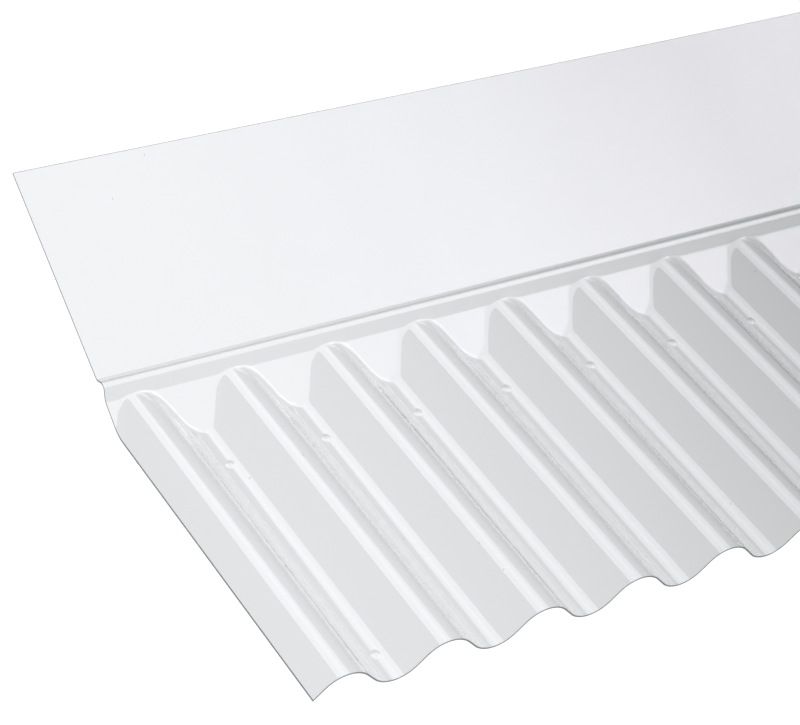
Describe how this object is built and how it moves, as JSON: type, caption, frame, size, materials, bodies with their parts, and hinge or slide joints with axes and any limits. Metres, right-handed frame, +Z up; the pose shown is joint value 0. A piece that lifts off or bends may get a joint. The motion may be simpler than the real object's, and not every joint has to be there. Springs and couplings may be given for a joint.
{
  "type": "corrugated roof wall flashing",
  "caption": "Clear corrugated wall flashing: a wavy apron that laps over roof sheets, closed by rounded noses and ramps into a riser, with a flat flange rising behind to meet a wall.",
  "frame": {"origin": "on the floor, under the middle of the part's outline", "axes": "+X along the wall, the part's length; +Y from the apron's front edge to the flange; +Z up from the floor that the troughs lie on"},
  "size_m": [0.95, 0.4384, 0.0981],
  "materials": {
    "clear_pvc": "clear gloss rigid PVC sheet"
  },
  "bodies": {
    "root": {"wall_flashing": "clear_pvc"}
  },
  "joints": []
}
